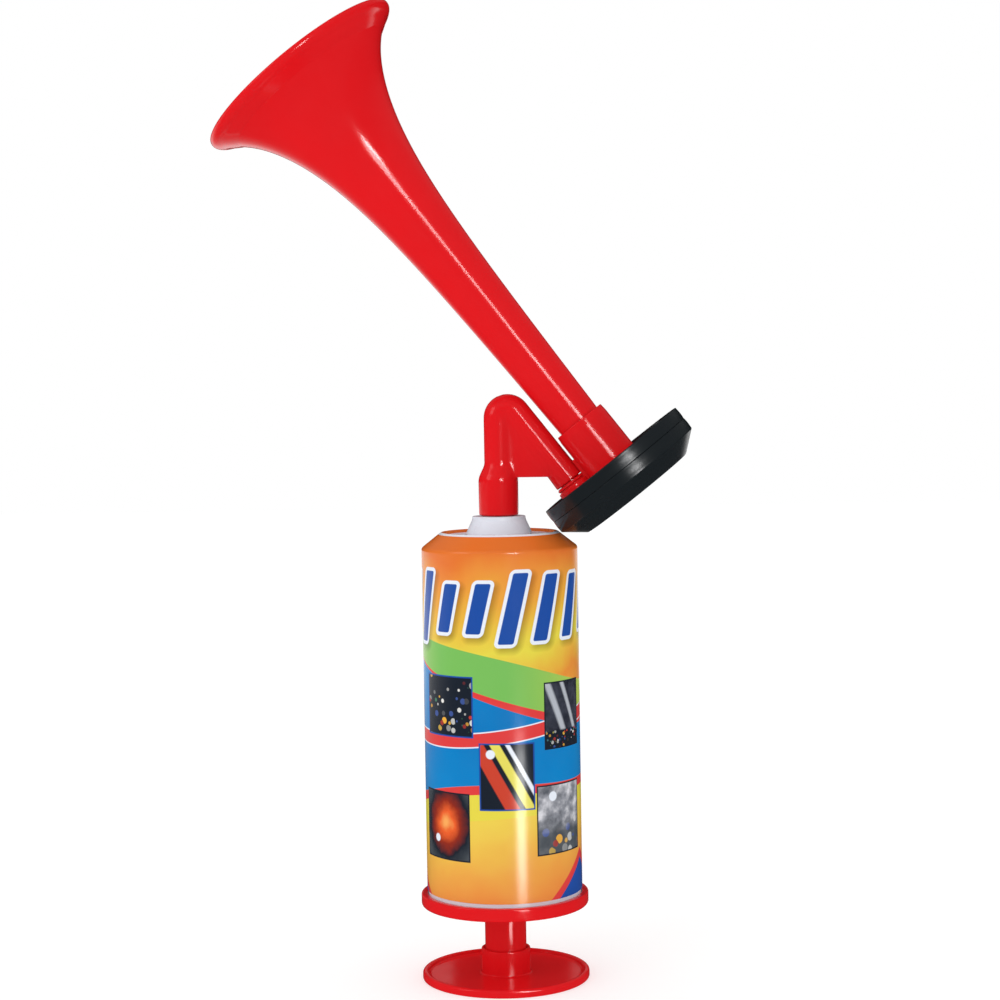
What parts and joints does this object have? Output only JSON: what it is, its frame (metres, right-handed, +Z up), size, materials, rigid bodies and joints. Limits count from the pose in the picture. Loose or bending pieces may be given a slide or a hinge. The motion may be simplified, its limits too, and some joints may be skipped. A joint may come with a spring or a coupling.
{
  "type": "stadium horn",
  "caption": "Hand-pumped stadium horn: a pump barrel standing on a round pull handle, with a swivelling gooseneck, a round diaphragm housing and a flared bell.",
  "frame": {"origin": "centre of the pull handle's flat underside, on the pump's axis", "axes": "+Z up along the pump's axis, -X towards the side the bell leans to, +Y away from the viewer in the picture"},
  "size_m": [0.1575, 0.0746, 0.3255],
  "materials": {
    "pump_handle": "gloss",
    "pump_rod": "gloss",
    "piston_head": "gloss",
    "piston_o_ring": "matt",
    "bottom_cap": "gloss",
    "barrel": "gloss",
    "label_sleeve": "printed film, gloss",
    "neck_socket": "gloss",
    "neck_o_ring": "matt",
    "gooseneck": "gloss",
    "horn_housing": "gloss",
    "horn_bell": "gloss",
    "housing_front_ring": "gloss",
    "diaphragm_gasket": "matt",
    "diaphragm": "thin film",
    "clamp_ring": "plain",
    "diaphragm_cap": "gloss"
  },
  "bodies": {
    "plunger": {"pump_handle": "pump_handle", "pump_rod": "pump_rod"},
    "piston": {"piston_head": "piston_head"},
    "ring": {"piston_o_ring": "piston_o_ring"},
    "barrel": {"barrel": "barrel", "label_sleeve": "label_sleeve", "neck_socket": "neck_socket", "bottom_cap": "bottom_cap"},
    "horn": {"gooseneck": "gooseneck", "neck_o_ring": "neck_o_ring", "horn_housing": "horn_housing", "horn_bell": "horn_bell", "housing_front_ring": "housing_front_ring", "diaphragm_gasket": "diaphragm_gasket", "diaphragm": "diaphragm", "clamp_ring": "clamp_ring", "diaphragm_cap": "diaphragm_cap"}
  },
  "joints": [
    {"name": "rod_swivel", "type": "hinge", "parent": "plunger", "child": "piston", "pos_m": [0, 0, 0.1164], "axis": [0, 0, 1], "continuous": true},
    {"name": "ring_float", "type": "slide", "parent": "piston", "child": "ring", "axis": [0, 0, 1], "range_m": [0, 0.0012]},
    {"name": "pump_stroke", "type": "slide", "parent": "piston", "child": "barrel", "axis": [0, 0, 1], "range_m": [-0.0143, 0.0778]},
    {"name": "neck_swivel", "type": "hinge", "parent": "barrel", "child": "horn", "pos_m": [0, 0, 0.1551], "axis": [0, 0, 1], "continuous": true}
  ]
}
